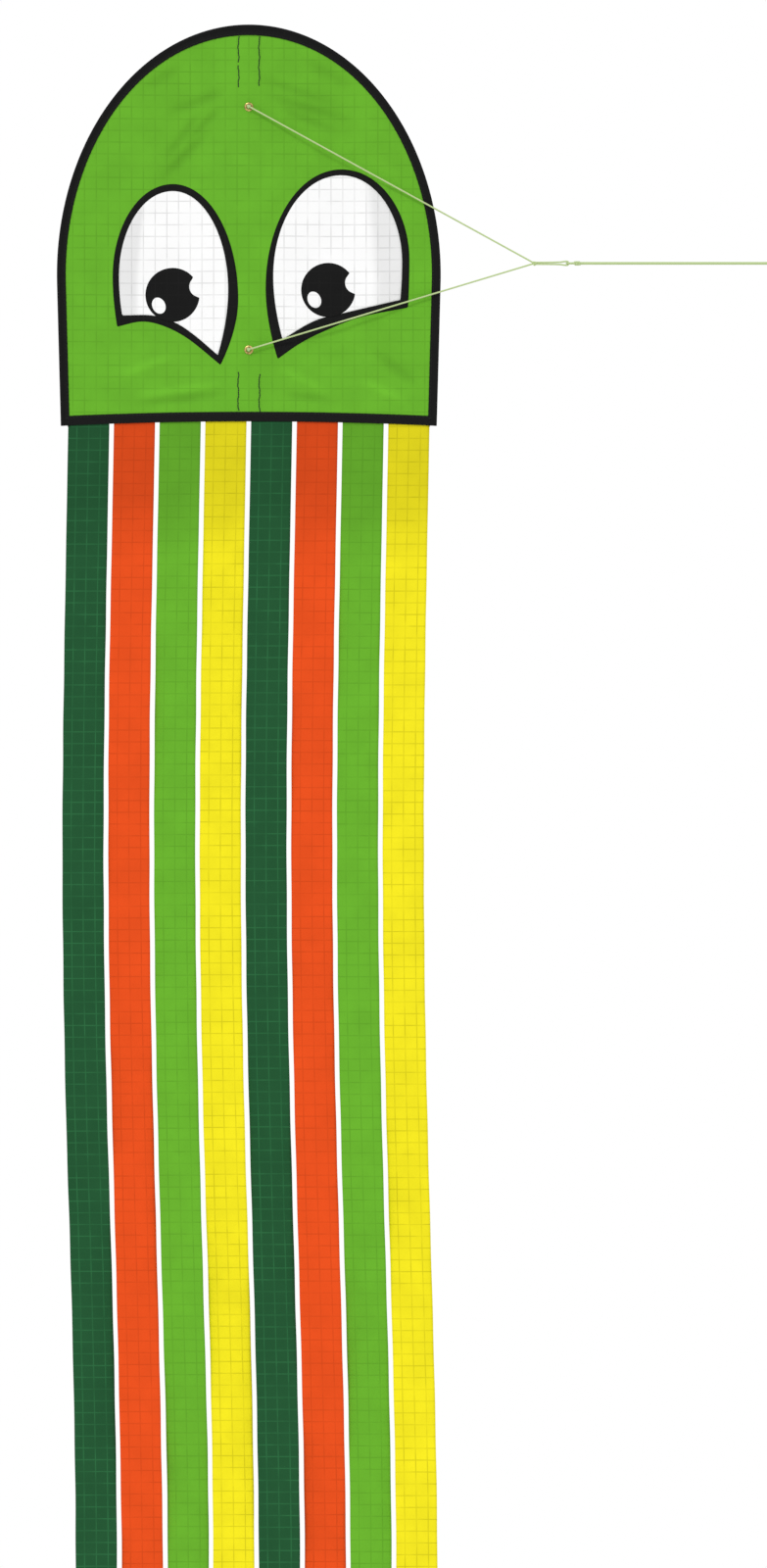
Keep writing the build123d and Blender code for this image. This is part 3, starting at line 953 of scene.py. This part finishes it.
def make_bindings():
    """Sleeve over the arch rod, hem tape, and a stitch row near the inner edge of each, front and back."""
    edge, inwards = edge_line(2.2 * MM)
    nose = np.exp(-((edge[:, 0] / 0.075) ** 2)) * (edge[:, 1] > -ARCH_HEIGHT)
    width = BINDING_SIDE + (BINDING_NOSE - BINDING_SIDE) * nose
    folded_strip("edge_tape", edge, inwards, width, ROD_BULGE, 0.07 * MM, "edge_sleeve")
    reach = CORNER - 5.5 * MM
    across = np.linspace(-reach, reach, 160)
    hem = np.stack([across, hem_z(across)], axis=1)
    up = np.tile([0.0, 1.0], (len(hem), 1))
    folded_strip("hem_tape", hem, up, np.full(len(hem), BINDING_HEM), 0.56 * MM, 0.04 * MM, "hem_binding")
    for face, y in (("front", -1), ("back", 1)):
        seam = edge + (width - SEAM_INSET)[:, None] * inwards
        stitches(f"edge_seam_{face}", flat_line(seam, y * 0.66 * MM), (0, y, 0), "thread_black")
        hem_seam = hem + (BINDING_HEM - SEAM_INSET) * up
        stitches(f"hem_seam_{face}", flat_line(hem_seam, y * 0.64 * MM), (0, y, 0), "thread_black")


make_bindings()


# ---------------------------------------------------------------- spine, pockets, eyelets

def make_pocket(name, outer_end, inner_end):
    """Strip of cloth over the spine's end: flat at both sides, closed down at its outer end.

    The hump over the rod is a smooth step up from each side, times the closing along the strip.
    """
    half = (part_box(name)[1].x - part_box(name)[0].x) / 2
    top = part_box(name)[1].y - CLOTH / 2
    across = np.linspace(-half, half, 61)[None, :]
    t = np.linspace(0, 1, 70)[:, None]
    z = outer_end + (inner_end - outer_end) * t
    hump = smooth_step(1 - np.abs(across) / POCKET_HUMP, 0.0, 0.82)
    closing = 0.25 + 0.75 * smooth_step(t * abs(inner_end - outer_end), -0.6 * MM, 1.0 * MM)
    lie = sail_y(across + 0 * z, z + 0 * across) + CLOTH
    ripple = wave(z, 0.12 * MM, 6.1 * MM) * (1 - hump)
    y = lie + hump * closing * (top - CLOTH) + ripple
    x = across + 0 * z
    points = np.stack([x, y, z + 0 * x], axis=-1)
    cloth_map = np.stack([x, z + 0 * x], axis=-1)
    pocket = grid(name + "_cloth", points, "pocket_green", cloth_map)
    place(thicken(pocket, CLOTH), "head", "pocket_green", name)


def pocket_seams():
    """The pockets' stitch rows: thin wandering lines on the front, and the same rows on the back."""
    rows = {
        "top_left_1": (-9.4, -11.6, -33.5),
        "top_left_2": (-9.3, -38.0, -56.0),
        "top_right": (9.4, -11.6, -55.0),
        "bottom_left": (-9.6, -317.5, -351.0),
        "bottom_right": (9.6, -319.5, -352.0),
    }
    for name, (x, high, low) in rows.items():
        z = np.linspace(high, low, 30) * MM
        wander = wave(z, 0.35 * MM, 17 * MM) + wave(z, 0.2 * MM, 6.3 * MM)
        line = np.stack([x * MM + wander, z], axis=1)
        depth = sail_y(line[:, 0], line[:, 1])
        for face, y in (("front", -1), ("back", 1)):
            lift = CLOTH * (0.55 if y < 0 else 1.6)
            seam = flat_line(line, depth + y * lift)
            name_here = f"pocket_seam_{name}_{face}"
            stitches(name_here, seam, (0, y, 0), "thread_dark_green", 2.0 * MM, 2.1 * MM, 1.0 * MM)


# Ring section of an eyelet in mm, radius and depth: bore, domed flange, barrel, roll behind the washer
EYELET_SECTION = [
    (2.0, 0.85), (2.0, -0.50), (2.35, -0.85), (3.0, -0.92), (3.7, -0.78), (4.05, -0.45), (3.9, -0.22),
    (2.6, -0.20), (2.42, 0.10), (2.42, 0.70), (2.85, 0.80), (3.05, 0.95), (2.7, 1.08), (2.25, 1.05),
]


def make_eyelet(name):
    """Brass ring: its section turned about the eyelet's axis, a shade uneven round the roll."""
    section = spline(EYELET_SECTION, 4, closed=True) * MM
    turn = np.arange(72)[:, None] * 2 * math.pi / 72
    uneven = 1 + 0.02 * np.sin(7 * turn) * (section[:, 1] > 0.7 * MM)
    radius = section[:, 0] * uneven
    x = radius * np.cos(turn)
    z = radius * np.sin(turn) + EYELETS[name]
    y = section[:, 1] + 0 * turn
    run = run_along(np.vstack([section, section[:1]]))
    cloth_map = np.stack(np.meshgrid(run, np.arange(73) * 0.35 * MM), axis=-1)
    points = np.stack([x, y, z], axis=-1)
    ring = grid(f"eyelet_{name}_ring", points, "eyelet_brass", cloth_map, wrap=(True, True))
    place(ring, "head", "eyelet_brass", f"eyelet_{name}")


def make_hitch(name):
    """Cord from the eyelet's knot back to the spine and twice round it, drawn close."""
    z = EYELETS[name]
    coil = SPINE_RADIUS + HITCH_CORD / 2
    turn = -math.pi / 2 + np.linspace(0, 3.5 * math.pi, 15)
    rise = np.linspace(-0.5, 1.0, 15) * 1.45 * MM
    wraps = np.stack([coil * np.cos(turn), SPINE[1] + coil * np.sin(turn), z + rise], axis=1)
    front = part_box("hitch_" + name)[0].y
    neck = [(0, front, z), (0, 0.6 * MM, z), (-0.2 * MM, 1.1 * MM, z - 0.3 * MM)]
    path = route_line(np.vstack([neck, wraps]), 0.22 * MM)
    upright = np.array([0.0, 0.03, 1.0])
    cord = tube(f"hitch_{name}_turns", path, HITCH_CORD, upright, "bridle_cord", 14, 0.06)
    place(cord, "head", "bridle_cord", f"hitch_{name}")


def dress_frame_parts():
    """The rods, caps and washers keep their own shapes and take their finishes."""
    finishes = {
        "arch_rod": "rod_fibreglass", "spine_rod": "rod_fibreglass", "arch_cap_left": "cap_vinyl",
        "arch_cap_right": "cap_vinyl", "spine_cap_top": "cap_vinyl", "spine_cap_bottom": "cap_vinyl",
        "washer_upper": "eyelet_brass", "washer_lower": "eyelet_brass",
    }
    for node, finish in finishes.items():
        shown = frame["nodes"][node]
        shown.data.materials.clear()
        shown.data.materials.append(MATERIALS[finish])


make_pocket("top_pocket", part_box("top_pocket")[1].z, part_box("top_pocket")[0].z)
make_pocket("bottom_pocket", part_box("bottom_pocket")[0].z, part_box("bottom_pocket")[1].z)
pocket_seams()
for name in EYELETS:
    make_eyelet(name)
    make_hitch(name)
dress_frame_parts()


# ---------------------------------------------------------------- tails

def sway(down):
    """Sideways swing of every tail at a distance below the hem: a slow sine that grows on its way."""
    return -wave(down, SWAY_START + SWAY_GROWTH * down, SWAY_LENGTH)


def make_tail(index):
    """One ribbon, sewn behind the hem, hanging in slow waves; its cut edges flutter slightly.

    y = plane + hang x (long wave + short wave + cup x across^2 + flutter x across^3), where hang grows
    from 0 at the hem to 1 a quarter of a metre below it. x follows the sway, with slightly wavy edges.
    """
    body = f"tail_{index + 1}"
    hinge = np.array(HINGES[body])
    colour = TAIL_COLOURS[index % 4]
    sewn = np.arange(-TAIL_TUCK, TAIL_BEND, 0.7 * MM)
    down = np.r_[sewn, np.linspace(TAIL_BEND, hinge[2] - TAIL_END, 500)][:, None]
    across = np.linspace(-0.5, 0.5, 15)[None, :]
    hang = smooth_step(down, 0, 0.25)
    phase = 1.9 * index
    waves = wave(down, *LONG_WAVE, phase) + wave(down, *SHORT_WAVE, 2 * phase)
    cup = (2 * across) ** 2 * wave(down, *CUP_WAVE, phase)
    flutter = (2 * across) ** 3 * wave(down, *FLUTTER, 3 * across + phase)
    y = TAIL_PLANE + 0.05 * MM + hang * (waves * (0.5 + 0.4 * down) + cup + flutter)
    edge_waver = 2 * across * hang * wave(down, *EDGE_WAVER, 5 * phase)
    x = hinge[0] + sway(down) * (down > 0) + across * TAIL_WIDTH + edge_waver
    z = hinge[2] - down + 0 * across
    cloth_map = np.stack([across * TAIL_WIDTH + 0 * down, down + 0 * across], axis=-1)
    shadow = (1 - smooth_step(down, 0.055, 0.135)) + 0 * across
    points = np.stack([x, y, z], axis=-1)
    slot = "tail_" + colour
    tail = grid(f"{body}_ribbon", points, slot, cloth_map, attributes={"shade": shadow})
    thicken(tail, CLOTH)
    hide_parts(body)
    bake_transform(tail)
    tack = np.linspace(-0.46, 0.46, 12) * TAIL_WIDTH + hinge[0]
    line = np.stack([tack, hem_z(tack) + 4.4 * MM], axis=1)
    stitches(f"{body}_seam", flat_line(line, TAIL_PLANE + 0.2 * MM), (0, 1, 0), "thread_black")


for index in range(8):
    make_tail(index)


# ---------------------------------------------------------------- floor

def make_floor():
    """Pale paper disc below the tails: rings of even steps that rise by a smooth step to a level rim."""
    radius = np.r_[np.linspace(0, 3.0, 24), 3.02][:, None]
    turn = np.arange(96)[None, :] * 2 * math.pi / 96
    x = radius * np.cos(turn)
    y = radius * np.sin(turn)
    z = FLOOR_Z + 0.1 * smooth_step(radius, 2.4, 3.0) + 0 * turn
    cloth_map = np.stack(np.meshgrid(np.linspace(0, 6 * math.pi, 97), radius[:, 0]), axis=-1)
    floor = grid("floor", np.stack([x, y, z], axis=-1), "paper", cloth_map, wrap=(False, True))
    thicken(floor, 2 * MM)


make_floor()
